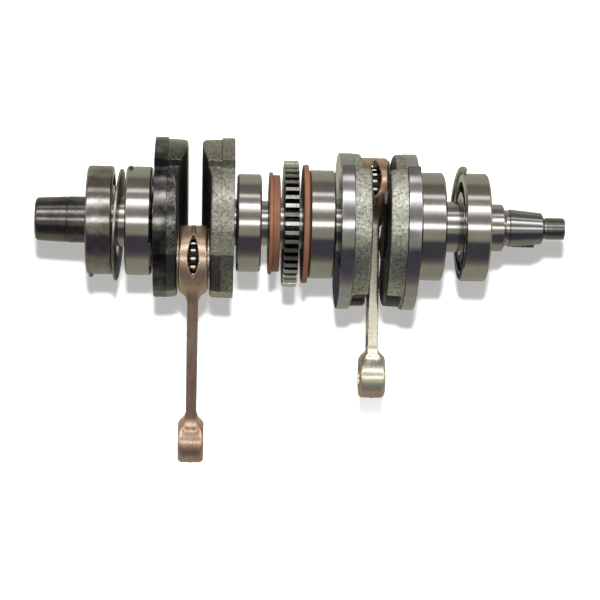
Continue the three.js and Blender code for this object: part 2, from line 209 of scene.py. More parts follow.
class Finish:
    """A Principled material and short names for the nodes that feed it."""

    def __init__(self, name, color, metallic, roughness, **values):
        self.material = bpy.data.materials.new(name)
        self.material.use_nodes = True
        self.tree = self.material.node_tree
        self.shader = next(n for n in self.tree.nodes if n.type == "BSDF_PRINCIPLED")
        self.shader.inputs["Base Color"].default_value = (*color, 1)
        self.shader.inputs["Metallic"].default_value = metallic
        self.shader.inputs["Roughness"].default_value = roughness
        for socket, value in values.items():
            self.shader.inputs[socket.replace("_", " ")].default_value = value
        self.place = self.node("ShaderNodeTexCoord").outputs["Object"]
        parts = self.node("ShaderNodeSeparateXYZ", Vector=self.place)
        self.x = parts.outputs["X"]
        across = self.node("ShaderNodeCombineXYZ", Y=parts.outputs["Y"], Z=parts.outputs["Z"])
        length = self.node("ShaderNodeVectorMath", operation="LENGTH", Vector=across.outputs[0])
        self.radius = length.outputs["Value"]

    def node(self, kind, operation=None, dimensions=None, **inputs):
        made = self.tree.nodes.new(kind)
        if operation:
            made.operation = operation
        if dimensions:
            made.noise_dimensions = dimensions
        for socket, value in inputs.items():
            self.feed(made.inputs[socket.replace("_", " ")], value)
        return made

    def feed(self, socket, value):
        if isinstance(value, bpy.types.NodeSocket):
            self.tree.links.new(value, socket)
        else:
            socket.default_value = value

    def sum(self, a, b, operation="ADD"):
        made = self.tree.nodes.new("ShaderNodeMath")
        made.operation = operation
        self.feed(made.inputs[0], a)
        self.feed(made.inputs[1], b)
        return made.outputs[0]

    def grain(self, scale, detail=3, roughness=0.6, stretch=(1, 1, 1), distortion=0):
        """Noise over the surface; scale is in lumps per metre."""
        vector = self.node("ShaderNodeVectorMath", operation="MULTIPLY", Vector=self.place)
        vector.inputs[1].default_value = stretch
        made = self.node("ShaderNodeTexNoise", Vector=vector.outputs[0], Scale=scale, Detail=detail,
                         Roughness=roughness, Distortion=distortion)
        return made.outputs["Fac"]

    def lines(self, scale, detail=4):
        """Tool marks that run round the crank axis."""
        along = self.sum(self.x, self.radius)
        made = self.node("ShaderNodeTexNoise", dimensions="1D", W=along, Scale=scale, Detail=detail)
        return made.outputs["Fac"]

    def scratches(self, scale, width=0.02):
        """Thin random cell edges, 1 on a scratch."""
        bent = self.node("ShaderNodeTexNoise", Vector=self.place, Scale=scale * 0.8, Detail=2)
        shift = self.node("ShaderNodeVectorMath", operation="SCALE", Vector=bent.outputs["Color"])
        shift.inputs["Scale"].default_value = 0.35 / scale * 4
        vector = self.node("ShaderNodeVectorMath", operation="ADD", Vector=self.place)
        self.tree.links.new(shift.outputs[0], vector.inputs[1])
        cells = self.node("ShaderNodeTexVoronoi", Vector=vector.outputs[0], Scale=scale)
        cells.feature = "DISTANCE_TO_EDGE"
        return self.remap(cells.outputs["Distance"], 0, width, 1, 0)

    def remap(self, value, low, high, to_low, to_high):
        made = self.node("ShaderNodeMapRange", Value=value)
        for socket, number in zip(("From Min", "From Max", "To Min", "To Max"), (low, high, to_low, to_high)):
            made.inputs[socket].default_value = number
        return made.outputs["Result"]

    def ramp(self, value, *stops):
        """Colours by value, each stop a position and an RGB colour."""
        made = self.node("ShaderNodeValToRGB", Fac=value)
        elements = made.color_ramp.elements
        while len(elements) < len(stops):
            elements.new(0.5)
        for element, (position, color) in zip(elements, stops):
            element.position = position
            element.color = (*color, 1)
        return made.outputs["Color"]

    def mix(self, share, first, second, blend="MIX"):
        made = self.tree.nodes.new("ShaderNodeMix")
        made.data_type = "RGBA"
        made.blend_type = blend
        self.feed(made.inputs[0], share)
        for socket, value in ((made.inputs[6], first), (made.inputs[7], second)):
            self.feed(socket, value if isinstance(value, bpy.types.NodeSocket) else (*value, 1))
        return made.outputs[2]

    def color(self, value):
        self.feed(self.shader.inputs["Base Color"], value)

    def rough(self, value):
        self.feed(self.shader.inputs["Roughness"], value)

    def bump(self, height, distance, strength=1.0):
        """Adds a bump; distance is in millimetres for a height of 1."""
        last = self.shader.inputs["Normal"].links
        made = self.node("ShaderNodeBump", Height=height, Strength=strength, Distance=distance * MM)
        if last:
            self.tree.links.new(last[0].from_socket, made.inputs["Normal"])
        self.tree.links.new(made.outputs["Normal"], self.shader.inputs["Normal"])

    def mask(self, name):
        """A mark painted on the mesh's points."""
        made = self.tree.nodes.new("ShaderNodeAttribute")
        made.attribute_name = name
        return made.outputs["Fac"]


def turned_steel(name, light, dark, roughness, mottle=0.5, line=0.004, shade=None):
    """Ground or turned steel: tool marks round the axis, soft stains and fine scratches. A shade is
    painted shade: its colour goes on the places that the mesh marks as shaded."""
    made = Finish(name, light, 1, roughness)
    stain = made.grain(70, detail=6, roughness=0.65)
    marks = made.lines(2600)
    tone = made.sum(made.remap(stain, 0.35, 0.7, 0, mottle), made.remap(marks, 0.3, 0.7, 0, 0.25))
    skin = made.ramp(tone, (0, light), (1, dark))
    if shade:
        # Painted shade: the shade colour, darker in patches, on the places marked shaded.
        deep = tuple(0.4 * c for c in shade)
        skin = made.mix(made.mask("shaded"), skin, made.ramp(stain, (0.35, shade), (0.65, deep)))
    made.color(skin)
    cuts = made.scratches(260, 0.012)
    wear = made.grain(420, detail=5, roughness=0.7)
    worn = made.remap(wear, 0.3, 0.75, roughness * 0.75, roughness * 1.45)
    made.rough(made.sum(worn, made.remap(cuts, 0, 1, 0, 0.12)))
    made.bump(marks, line)
    made.bump(wear, line * 1.5)
    made.bump(cuts, -0.003)
    return made.material


def forged_steel(name, light, dark, roughness, grain=0.12, metal=0.9, cracks=0.0, oil=0.0, even=0.35):
    """Scaled forging skin: sandy grain over broad patches, cracks on some, lighter where worn, and
    painted shade, matt dark and not metallic, where the mesh marks it shaded. The share called
    even is how much of the tone comes from the grain."""
    made = Finish(name, dark, metal, roughness, Coat_Weight=oil, Coat_Roughness=0.12,
                  Specular_IOR_Level=0.15)
    patch = made.grain(38, detail=5, roughness=0.6)
    pits = made.grain(560, detail=5, roughness=0.8)
    fine = made.grain(1500, detail=2, roughness=0.6)
    broad = made.remap(patch, 0.3, 0.7, 0, 0.5 * (1 - even))
    tone = made.sum(broad, made.remap(pits, 0.38, 0.62, 0, 0.5 + 0.5 * even))
    skin = made.ramp(tone, (0.08, dark), (0.85, light))
    if cracks:
        edges = made.scratches(42, 0.014)
        few = made.remap(made.grain(30, detail=1), 0.5, 0.58, 0, cracks)
        skin = made.mix(made.sum(edges, few, "MULTIPLY"), skin, tuple(0.15 * c for c in dark))
        made.bump(edges, -grain)
    worn = made.mask("worn")
    bare_dark = tuple(1.2 * c for c in dark)
    bare_light = tuple(min(1, 1.6 * c) for c in light)
    bare = made.ramp(pits, (0.36, bare_dark), (0.6, bare_light))
    # Painted shade: a near-black tone without metal sheen, for the places the mesh marks shaded.
    painted_shade_tone = made.ramp(patch, (0.35, (0.05, 0.048, 0.045)), (0.65, (0.014, 0.014, 0.02)))
    shaded = made.mask("shaded")
    made.color(made.mix(shaded, made.mix(worn, skin, bare), painted_shade_tone))
    made.feed(made.shader.inputs["Metallic"], made.remap(shaded, 0, 1, metal, 0))
    made.rough(made.remap(pits, 0.3, 0.7, roughness * 1.25, roughness * 0.75))
    made.bump(pits, grain)
    made.bump(fine, grain * 0.3)
    return made.material


def coppered_steel(name, front=None):
    """Copper-flashed forging: bronze skin, redder in patches, with a fine sandy grain. A front
    colour is a painted highlight that goes on the places that the mesh marks as front."""
    made = Finish(name, (0.5, 0.33, 0.2), 0.8, 0.34)
    patch = made.grain(45, detail=5, roughness=0.6)
    sand = made.grain(1300, detail=3, roughness=0.7)
    smear = made.grain(160, detail=4, roughness=0.6, stretch=(2.5, 1, 0.35))
    tone = made.sum(made.remap(patch, 0.32, 0.68, 0, 0.6), made.remap(smear, 0.35, 0.65, 0, 0.4))
    skin = made.ramp(tone, (0, (0.58, 0.33, 0.25)), (0.45, (0.72, 0.50, 0.38)), (1, (0.76, 0.64, 0.50)))
    # Painted highlight: the front colour on the faces marked front.
    if front:
        bright = made.ramp(tone, (0, tuple(0.88 * c for c in front)), (1, front))
        skin = made.mix(made.mask("front"), skin, bright)
    made.color(skin)
    made.rough(made.remap(sand, 0.3, 0.7, 0.2, 0.34))
    made.bump(sand, 0.018)
    made.bump(smear, 0.05)
    return made.material


def rubbery(name, light, dark):
    """Moulded orange seal material with faint mould lines and dust."""
    made = Finish(name, light, 0, 0.4)
    patch = made.grain(60, detail=5)
    fine = made.grain(1800, detail=2)
    tone = made.sum(made.remap(patch, 0.35, 0.7, 0, 0.8), made.remap(fine, 0.3, 0.7, 0, 0.2))
    made.color(made.ramp(tone, (0, light), (1, dark)))
    made.rough(made.remap(patch, 0.3, 0.7, 0.32, 0.5))
    made.bump(fine, 0.012)
    made.bump(made.lines(1500), 0.01)
    return made.material


def roller_steel(name):
    """Polished rollers with a painted highlight: bright in the middle and painted dark towards their ends."""
    made = Finish(name, (0.1, 0.09, 0.08), 1, 0.12)
    smudge = made.grain(900, detail=3)
    # Painted highlight: the run mark makes each roller bright in its middle and dark at its ends.
    run = made.sum(made.mask("run"), made.remap(smudge, 0.3, 0.7, -0.1, 0.1))
    made.color(made.ramp(run, (0.35, (0.03, 0.027, 0.025)), (0.75, (0.85, 0.84, 0.80))))
    made.rough(made.remap(smudge, 0.3, 0.7, 0.08, 0.16))
    return made.material


STEEL = (0.60, 0.59, 0.56)
POLISHED = turned_steel("race_steel", STEEL, (0.47, 0.455, 0.43), 0.115, mottle=0.6, line=0.002)
SCUFFED = turned_steel("scuffed_race_steel", (0.50, 0.485, 0.46), (0.24, 0.215, 0.205), 0.135,
                       mottle=1.1, line=0.004)
JOURNAL = turned_steel("journal_steel", (0.58, 0.57, 0.55), (0.42, 0.41, 0.40), 0.14, line=0.004)
# The band steels' shade colours are painted shade, for the places that web_shade marks.
BAND = turned_steel("turned_band_steel", (0.68, 0.67, 0.69), (0.42, 0.41, 0.44), 0.115,
                    mottle=0.8, line=0.003, shade=(0.04, 0.04, 0.055))
DARK_BAND = turned_steel("oiled_band_steel", (0.30, 0.29, 0.26), (0.05, 0.05, 0.065), 0.12,
                         mottle=1.3, line=0.006, shade=(0.03, 0.03, 0.035))
STUB = turned_steel("browned_stub_steel", (0.28, 0.265, 0.25), (0.10, 0.095, 0.105), 0.15,
                    mottle=0.9, line=0.010)
BALL = turned_steel("ball_steel", (0.66, 0.65, 0.63), (0.58, 0.57, 0.55), 0.06, line=0.0)
ROLLER = roller_steel("roller_steel")
CAGE = turned_steel("cage_steel", (0.22, 0.20, 0.18), (0.12, 0.11, 0.10), 0.34)
DARK_CAGE = turned_steel("oiled_cage_steel", (0.045, 0.04, 0.036), (0.02, 0.018, 0.016), 0.3)
RING = turned_steel("ring_steel", (0.62, 0.61, 0.53), (0.38, 0.37, 0.32), 0.28, mottle=0.8)
# The gear's shade colour is painted shade in the gaps between its teeth.
GEAR = turned_steel("gear_steel", (0.66, 0.67, 0.62), (0.40, 0.405, 0.38), 0.24, mottle=0.7,
                    shade=(0.035, 0.035, 0.04))
THREADED = turned_steel("thread_steel", (0.42, 0.43, 0.41), (0.27, 0.275, 0.265), 0.2, line=0.001)
TAPERED = turned_steel("taper_steel", (0.44, 0.44, 0.445), (0.31, 0.31, 0.32), 0.14, line=0.004)
PALE_BRASS = turned_steel("washer_brass", (0.66, 0.60, 0.46), (0.50, 0.43, 0.31), 0.26)
DARK_FORGING = forged_steel("oiled_forging", (0.26, 0.255, 0.21), (0.02, 0.02, 0.032), 0.16, grain=0.035,
                            oil=0.6, even=0)
PALE_FORGING = forged_steel("pale_forging", (0.56, 0.56, 0.48), (0.15, 0.15, 0.13), 0.36,
                            grain=0.08, cracks=0.9)
GRAINY_FORGING = forged_steel("grainy_forging", (0.80, 0.81, 0.70), (0.16, 0.165, 0.15), 0.36, grain=0.09)
COPPERED = coppered_steel("coppered_forging")
# The right rod's front colour is a pale painted highlight on its faces turned to -Y.
COPPERED_PAINTED_HIGHLIGHT = coppered_steel("coppered_forging_painted_highlight", front=(0.95, 0.93, 0.76))
ORANGE = rubbery("orange_seal", (0.60, 0.26, 0.15), (0.36, 0.165, 0.11))


# ------------------------------------------------------------------ webs

TURNED_BAND = 8.5             # width of a web's turned rim
BAND_STEP = 1                 # how far the forged rim lies under it
PIN_FIT = 0.3                 # room round a crankpin in its bore
SHOULDER = 20.5               # radius of the step beside an end web
CHEEK_GAP = 21.4              # between the two cheeks of a throw
THROW = np.hypot(*centre("left_crankpin")[1:])
PIN_RADIUS = outer_radius("left_crankpin")
COUNTERWEIGHT_RADIUS = 56
END_TURN = (89.5, 93)         # where a counterweight ends at its outer and inner face, from the pin

# The two throws. "pin" is the crankpin's direction and "gap" the space between the two
# counterweights. "cheek" is the rim radius on the pin side, with flats on its shoulders where
# there are facets. The ramp runs from the counterweight to the cheek along the pin direction,
# and the hub stands out between two counterweights, clear of the rod. A scoop is a shallow hollow
# in the counterweight's rim, "scoop_reach" degrees to each side of its middle.
THROWS = {
    "left": {"pin": 135, "thickness": 21.5, "gap": 9.4, "cheek": 50.3, "facets": True,
             "ramp": (-18.6, 8), "hub": None, "scoop_turn": 0, "scoop_reach": 10},
    "right": {"pin": -45, "thickness": 20.1, "gap": 11.2, "cheek": 47.8, "facets": False,
              "ramp": (-3.2, -0.6), "hub": {"radius": 24, "gap": 8.4, "clear": 34.3},
              "scoop_turn": -149, "scoop_reach": 20},
}


def rim_radius(turn, x, web):
    """Rim radius at an angle from the pin direction, and the share of it that is counterweight."""
    share = x / web["thickness"]
    end = END_TURN[0] + (END_TURN[1] - END_TURN[0]) * share
    weight = float(smooth(abs(turn), end - 1.1, end + 0.9))
    cheek = web["cheek"] - 1.2 * max(share - 0.4, 0)
    if web["facets"] and 20 < abs(turn) < 38:
        cheek *= math.cos(math.radians(9)) / math.cos(math.radians(abs(turn) - 29))
    return cheek + (COUNTERWEIGHT_RADIUS - cheek) * weight, weight


def inner_face(turn, radius, web):
    """Distance of the inner face from the outer face at a place on the web."""
    along = radius * math.cos(math.radians(turn))
    low, high = web["ramp"]
    t = np.clip((along - low) / (high - low), 0, 1)
    recess = (CHEEK_GAP - web["gap"]) / 2
    face = web["thickness"] - recess * (0.45 * t + 0.55 * t * t * (3 - 2 * t))
    hub = web["hub"]
    if hub:
        rise = (web["gap"] - hub["gap"]) / 2
        raised = web["thickness"] + rise
        face = face + (raised - face) * float(1 - smooth(radius, hub["radius"] - 0.9, hub["radius"] + 0.3))
        away = math.hypot(radius * math.sin(math.radians(turn)), along - THROW)
        wall = np.interp(away, [24, 30, hub["clear"]], [web["thickness"] - recess, web["thickness"], raised])
        face = min(face, float(wall))
    return float(face)


def forging_section(turn, web):
    """Section of the forged part of a web at an angle from the pin, as [x, radius]."""
    def rim_at(x):
        radius, weight = rim_radius(turn, x, web)
        away = abs(turn - web["scoop_turn"])
        dip = web["scoop"] * float(1 - smooth(away, web["scoop_reach"] * 0.75, web["scoop_reach"]))
        share = (x - TURNED_BAND) / (web["thickness"] - TURNED_BAND)
        hollow = dip * float(smooth(share, 0.03, 0.24) - smooth(share, 0.76, 0.93))
        return radius - weight * (BAND_STEP + 0.045 * (x - TURNED_BAND)) - hollow

    corner = 2.4
    edge = inner_face(turn, rim_at(web["thickness"]) - corner, web)
    start = TURNED_BAND - 1
    section = [(start, 0), (start, rim_at(start) - 4), (start + 0.9, rim_at(start) - 0.9)]
    for x in np.linspace(TURNED_BAND + 0.25, edge - corner, 18):
        section.append((x, rim_at(x)))
    last = section[-1][1]
    for angle in np.radians(np.linspace(12, 90, 7)):
        section.append((edge - corner + corner * math.sin(angle), last - corner + corner * math.cos(angle)))
    inner = last - corner
    for share in np.linspace(0.015, 1, 56):
        radius = inner * (1 - share)
        section.append((inner_face(turn, radius, web), radius))
    return section


def band_section(turn, web):
    """Section of the turned part of a web."""
    radius, weight = rim_radius(turn, TURNED_BAND / 2, web)
    notch = 0.25 + 1.65 * weight
    return soften([(0, 0), (0, radius), (TURNED_BAND - 0.15, radius), (TURNED_BAND + 0.25, radius - notch),
                   (TURNED_BAND - 0.4, radius - notch - 2.6), (TURNED_BAND - 0.4, 0)], 0.55)


def turn_steps(web):
    """Angles from the pin, closer together at the ends of the counterweight and of the facets."""
    marks = [-91.5, 91.5, -20, 20, -38, 38, web["scoop_turn"] - 17, web["scoop_turn"] + 17]
    even = np.linspace(-180, 180, 300, endpoint=False)
    close = [mark + step for mark in marks for step in np.linspace(-3, 3, 13)]
    return np.unique(np.round(np.concatenate([even, close]), 3))


def web_mesh(name, section, web):
    """A web part: its section swept round the crank axis."""
    rings = []
    for turn in turn_steps(web):
        drawn = np.array(section(turn, web), float)
        x = web["outer"] + web["facing"] * drawn[:, 0]
        rings.append(around_axis(x, drawn[:, 1], math.radians(web["pin"] + turn)))
    return mesh_of(name, *loft(rings), sharp=40)


def roughen(mesh, amount, lump, seed):
    """Pushes the forged skin in and out a little, by smooth noise."""
    for vertex in mesh.vertices:
        at = Vector(vertex.co) / MM
        push = noise.noise(at / lump + Vector((seed, 0, 0))) + 0.5 * noise.noise(at / lump * 2.7)
        out = Vector((0, at.y, at.z))
        if out.length > 30:
            vertex.co += out.normalized() * (push * amount - amount) * MM


def web_turn(mesh, web):
    """Angle from the pin direction of each point of a web's mesh."""
    points = np.array([v.co for v in mesh.vertices])
    angle = np.degrees(np.arctan2(-points[:, 1], points[:, 2])) - web["pin"]
    return (angle + 180) % 360 - 180


def web_shade(mesh, web):
    """Painted shade, 1 where dark: the inner face, the lower outer face, the hollow and the cheek's tip."""
    normals = np.array([v.normal for v in mesh.vertices])
    points = np.array([v.co for v in mesh.vertices]) / MM
    across = smooth(normals[:, 0] * web["facing"], 0.55, 0.9)
    outside = smooth(-normals[:, 0] * web["facing"], 0.6, 0.9) * smooth(-points[:, 2], -22, 6)
    turn = web_turn(mesh, web)
    radius = np.hypot(points[:, 1], points[:, 2])
    depth = (points[:, 0] - web["outer"]) * web["facing"]
    deep = smooth(depth, TURNED_BAND - 0.8, TURNED_BAND + 0.2)
    tip = (1 - smooth(np.abs(turn), 19, 20.5)) * deep * web["facets"]
    hollow = 0
    if web["scoop"]:
        reach = web["scoop_reach"]
        inside = 1 - smooth(np.abs(turn - web["scoop_turn"]), reach * 0.8, reach)
        hollow = inside * smooth(COUNTERWEIGHT_RADIUS - radius, BAND_STEP + 0.7, BAND_STEP + 1.3)
    return np.clip(across + 0.8 * outside + 0.85 * tip + hollow, 0, 1)


def bored(mesh, web):
    """The mesh with the crankpin's bore cut through it."""
    direction = math.radians(web["pin"])
    reach = web["thickness"] + 3
    x = web["outer"]
    tool_mesh = lathe("bore_tool", [(x - reach, 0), (x - reach, PIN_RADIUS + PIN_FIT),
                                    (x + reach, PIN_RADIUS + PIN_FIT), (x + reach, 0)], 0.01, steps=96)
    moved(tool_mesh, y=-THROW * math.sin(direction), z=THROW * math.cos(direction))
    tool = bpy.data.objects.new("bore_tool", tool_mesh)
    work = bpy.data.objects.new("bored_web", mesh)
    for item in (tool, work):
        bpy.context.scene.collection.objects.link(item)
    cut = work.modifiers.new("bore", "BOOLEAN")
    cut.operation = "DIFFERENCE"
    cut.object = tool
    cut.solver = "EXACT"
    graph = bpy.context.evaluated_depsgraph_get()
    result = bpy.data.meshes.new_from_object(work.evaluated_get(graph))
    result.name = mesh.name
    for item in (tool, work):
        bpy.data.objects.remove(item)
    result.shade_smooth()
    result.set_sharp_from_angle(angle=math.radians(35))
    return result


left_x = centre("left_crankpin")[0]
right_x = centre("right_crankpin")[0]
WEBS = [
    {"name": "web_1", "node": "pto_half_shaft", "x": left_x, "facing": 1, "side": "left",
     "band": DARK_BAND, "forging": DARK_FORGING, "scoop": 0},
    {"name": "web_2", "node": "center_half_shaft", "x": left_x, "facing": -1, "side": "left",
     "band": PALE_FORGING, "forging": PALE_FORGING, "scoop": 0},
    {"name": "web_3", "node": "center_web", "x": right_x, "facing": 1, "side": "right",
     "band": BAND, "forging": GRAINY_FORGING, "scoop": 5.5},
    {"name": "web_4", "node": "mag_half_shaft", "x": right_x, "facing": -1, "side": "right",
     "band": BAND, "forging": GRAINY_FORGING, "scoop": 1.6},
]

for seed, web in enumerate(WEBS):
    web.update(THROWS[web["side"]])
    web["outer"] = web["x"] - web["facing"] * (web["gap"] / 2 + web["thickness"])
    band = bored(web_mesh(web["name"] + "_turned_band", band_section, web), web)
    forging = web_mesh(web["name"] + "_forging", forging_section, web)
    roughen(forging, 0.14, 6, seed)
    for mesh in (band, forging):
        turn = np.abs(web_turn(mesh, web))
        facet = smooth(turn, 19, 21) * (1 - smooth(turn, 37, 39)) if web["facets"] else turn * 0
        paint(mesh, "worn", facet)
        # Painted shade: web_shade marks the places to be painted dark.
        paint(mesh, "shaded", web_shade(mesh, web))
    add_piece(band, web["band"], "crank", "forged_steel", web["node"])
    add_piece(forging, web["forging"], "crank", "forged_steel", web["node"])


# ------------------------------------------------------------------ shafts

JOURNAL_RADIUS = 17.35
PTO_END = ends("pto_half_shaft")[0]
MAG_END = ends("mag_half_shaft")[1]
WEB_1, WEB_2, WEB_3, WEB_4 = (web["outer"] for web in WEBS)

stub = lathe("pto_stub", [
    (PTO_END + 4.5, 0), (PTO_END + 0.8, 2.6), (PTO_END, 3.4), (PTO_END, 12.8), (PTO_END + 1.4, 14.2),
    (PTO_END + 20.7, 15.2), (PTO_END + 21.1, 14.85), (PTO_END + 21.5, 14.85), (PTO_END + 21.9, 15.35),
    (PTO_END + 27.4, 15.35), (PTO_END + 27.7, 15.2), (PTO_END + 28, 15.35), (PTO_END + 33.9, 15.35),
    (PTO_END + 34.1, 14.6), (PTO_END + 40, 14.6), (PTO_END + 40, 0)], 0.35)
add_piece(stub, STUB, "crank", "turned_steel", "pto_half_shaft")

add_piece(lathe("pto_journal", [
    (PTO_END + 34.1, 0), (PTO_END + 34.1, JOURNAL_RADIUS), (WEB_1 - 1.5, JOURNAL_RADIUS),
    (WEB_1 - 1.5, SHOULDER), (WEB_1 + 2, SHOULDER), (WEB_1 + 2, 0)], 0.4),
    JOURNAL, "crank", "turned_steel", "pto_half_shaft")

small_race = ends("center_small_inner_race")
add_piece(lathe("center_shaft", [
    (WEB_2 - 2, 0), (WEB_2 - 2, 15.6), (small_race[0] - 0.3, 15.6), (small_race[0] - 0.3, 14.85),
    (-11.8, 14.85), (-11.6, JOURNAL_RADIUS), (WEB_3 + 2, JOURNAL_RADIUS), (WEB_3 + 2, 0)], 0.3),
    JOURNAL, "crank", "turned_steel", "center_half_shaft")

inner_start, inner_end = ends("mag_inner_inner_race")
outer_start, outer_end = ends("mag_outer_inner_race")
add_piece(lathe("mag_journal", [
    (WEB_4 - 2, 0), (WEB_4 - 2, SHOULDER), (inner_start - 0.3, SHOULDER), (inner_start - 0.3, JOURNAL_RADIUS),
    (inner_end + 0.6, JOURNAL_RADIUS), (inner_end + 0.9, 16.9), (outer_start - 0.5, 16.9),
    (outer_start - 0.2, JOURNAL_RADIUS), (outer_end + 0.2, JOURNAL_RADIUS), (outer_end + 0.2, 0)], 0.35),
    JOURNAL, "crank", "turned_steel", "mag_half_shaft")

TAPER_START = MAG_END - 37.2
THREAD_START = MAG_END - 13
add_piece(lathe("mag_collar", [
    (outer_end - 1, 0), (outer_end - 1, 15.7), (outer_end + 10.8, 15.7), (outer_end + 12.6, 12.2),
    (outer_end + 13.1, 11.9), (TAPER_START - 0.6, 11.9), (TAPER_START - 0.3, 11.6),
    (TAPER_START - 0.3, 0)], 0.3),
    JOURNAL, "crank", "turned_steel", "mag_half_shaft")
add_piece(lathe("mag_taper", [
    (TAPER_START - 0.4, 0), (TAPER_START - 0.4, 11.6), (TAPER_START, 12.6), (TAPER_START + 21.6, 10.44),
    (TAPER_START + 23.3, 7.6), (TAPER_START + 23.5, 6.4), (THREAD_START + 0.5, 6.4),
    (THREAD_START + 0.5, 0)], 0.3),
    TAPERED, "crank", "turned_steel", "mag_half_shaft")


def threaded_end(name, start, end, crest, pitch, depth):
    """A screw thread cut on the shaft's end, with a centre hole."""
    samples = int((end - start) / pitch * 14)
    x = np.linspace(start, end, samples)
    angle = turns(120)
    phase = (x[None, :] / pitch - angle / (2 * math.pi)) % 1
    rise = np.clip(1.25 - np.abs(phase - 0.5) * 3, 0, 1)
    fade = np.minimum(smooth(x, start, start + 1.2), 1 - smooth(x, end - 1.3, end - 0.2))[None, :]
    radius = crest - depth * (1 - rise * fade)
    body = around_axis(x[None, :], radius, angle)
    flat = np.ones((len(angle), 1))
    cap_profile = [(end, crest - depth - 0.3), (end, 3.1), (end - 0.3, 2.6), (end - 3, 0)]
    caps = [around_axis(flat * cx, flat * cr, angle) for cx, cr in cap_profile]
    base = [around_axis(flat * start, flat * 0, angle)]
    return mesh_of(name, *loft(np.concatenate(base + [body] + caps, axis=1)), sharp=50)


add_piece(threaded_end("mag_thread", THREAD_START, MAG_END, 7.6, 1.5, 0.7),
          THREADED, "crank", "turned_steel", "mag_half_shaft")

key = frame["nodes"]["woodruff_key"]
key.material_slots[0].material = GEAR


# ------------------------------------------------------------------ crankpins, needles and washers

def end_chamfered_bar(name, half, radius, bevel, steps=96):
    return lathe(name, [(-half, 0), (-half, radius - bevel), (-half + bevel, radius), (half - bevel, radius),
                        (half, radius - bevel), (half, 0)], 0.2, steps=steps)


NEEDLE_COUNT = 16
NEEDLE_PITCH = 13.9
NEEDLE_RADIUS = 1.6


def needle_cage(name, half):
    """Cage of the big end: two end rings and a bar between each pair of needles."""
    bar = 0.19
    window = half - 1.7
    parts = []
    for side in (-1, 1):
        x0, x1 = sorted((side * window, side * half))
        profile = [(x0, 12.9), (x0, 15.1), (x1, 15.1), (x1, 12.9)]
        parts.append(lathe(name, profile, 0.25, closed=True, steps=112))
    for i in range(NEEDLE_COUNT):
        middle = (i + 0.5) / NEEDLE_COUNT * 2 * math.pi
        rings = []
        for angle in middle + np.linspace(-bar, bar, 5) * 0.5:
            outline = np.array([(-window - 0.1, 13.2), (-window - 0.1, 14.8),
                                (window + 0.1, 14.8), (window + 0.1, 13.2)])
            rings.append(around_axis(outline[:, 0], outline[:, 1], angle))
        parts.append(mesh_of(name, *loft(rings, around=False, closed=True)))
    return joined(name, parts)


def needles(name, half):
    """The needle rollers of a big end, whose points carry the run mark of a painted highlight."""
    parts = []
    straight = [(x, NEEDLE_RADIUS) for x in np.linspace(-half + 0.5, half - 0.5, 21)]
    for i in range(NEEDLE_COUNT):
        angle = i / NEEDLE_COUNT * 2 * math.pi
        needle = lathe(name, [(-half, 0), (-half, 1.1), *straight, (half, 1.1), (half, 0)], 0.2, steps=28)
        parts.append(moved(needle, y=-NEEDLE_PITCH * math.sin(angle), z=NEEDLE_PITCH * math.cos(angle)))
    whole = joined(name, parts)
    along = np.array([abs(v.co.x) for v in whole.vertices]) / MM
    # Painted highlight: the run mark is 1 at each needle's middle and falls to 0 towards its ends.
    paint(whole, "run", 1 - smooth(along, 0.6, 2.4))
    return whole


for side in ("left", "right"):
    pin_x, pin_y, pin_z = centre(side + "_crankpin")
    at = {"x": pin_x, "y": pin_y, "z": pin_z}
    start, end = ends(side + "_crankpin")
    pin = end_chamfered_bar(side + "_crankpin_bar", (end - start) / 2, PIN_RADIUS, 0.9)
    add_piece(moved(pin, **at), JOURNAL, "crank", "turned_steel", side + "_crankpin")
    node = side + "_big_end_needles"
    start, end = ends(node)
    half = (end - start) / 2
    body = side + "_needles"
    add_piece(moved(needle_cage(side + "_needle_cage", half), **at), DARK_CAGE, body, "needle_cage", node)
    add_piece(moved(needles(side + "_needle_rollers", half - 1.9), **at), ROLLER, body, "needle_cage", node)
    for letter in "ab":
        node = f"{side}_thrust_washer_{letter}"
        start, end = ends(node)
        radius = outer_radius(node)
        profile = [(start, 12.4), (start, radius), (end, radius), (end, 12.4)]
        washer = lathe(f"{side}_washer_{letter}", profile, 0.25, closed=True, steps=128)
        moved(washer, y=pin_y, z=pin_z)
        add_piece(washer, PALE_BRASS, f"{side}_washer_{letter}", "thrust_washer", node)


# ------------------------------------------------------------------ connecting rods

ROD = {"big": 22, "big_bore": 15.8, "big_half": 9, "small": 14.5, "small_bore": 11.3, "small_half": 8.7,
       "length": 127, "beam_half": 3.5}
SLOT = {"half": 3.6, "arc": 25.3, "height": 5.8}   # oil slot of the big end, pointed at both ends
VOXEL = 0.5


def smooth_union(a, b, k):
    h = np.clip(0.5 + 0.5 * (b - a) / k, 0, 1)
    return b * (1 - h) + a * h - k * h * (1 - h)


def smooth_cut(body, tool, k):
    return -smooth_union(-body, tool, k)


def rounded_box(offsets, rounding):
    """Distance to a box, from how far each coordinate is past its face."""
    shifted = [o + rounding for o in offsets]
    outside = np.sqrt(sum(np.maximum(s, 0) ** 2 for s in shifted))
    inside = np.minimum(np.maximum.reduce(shifted), 0)
    return outside + inside - rounding


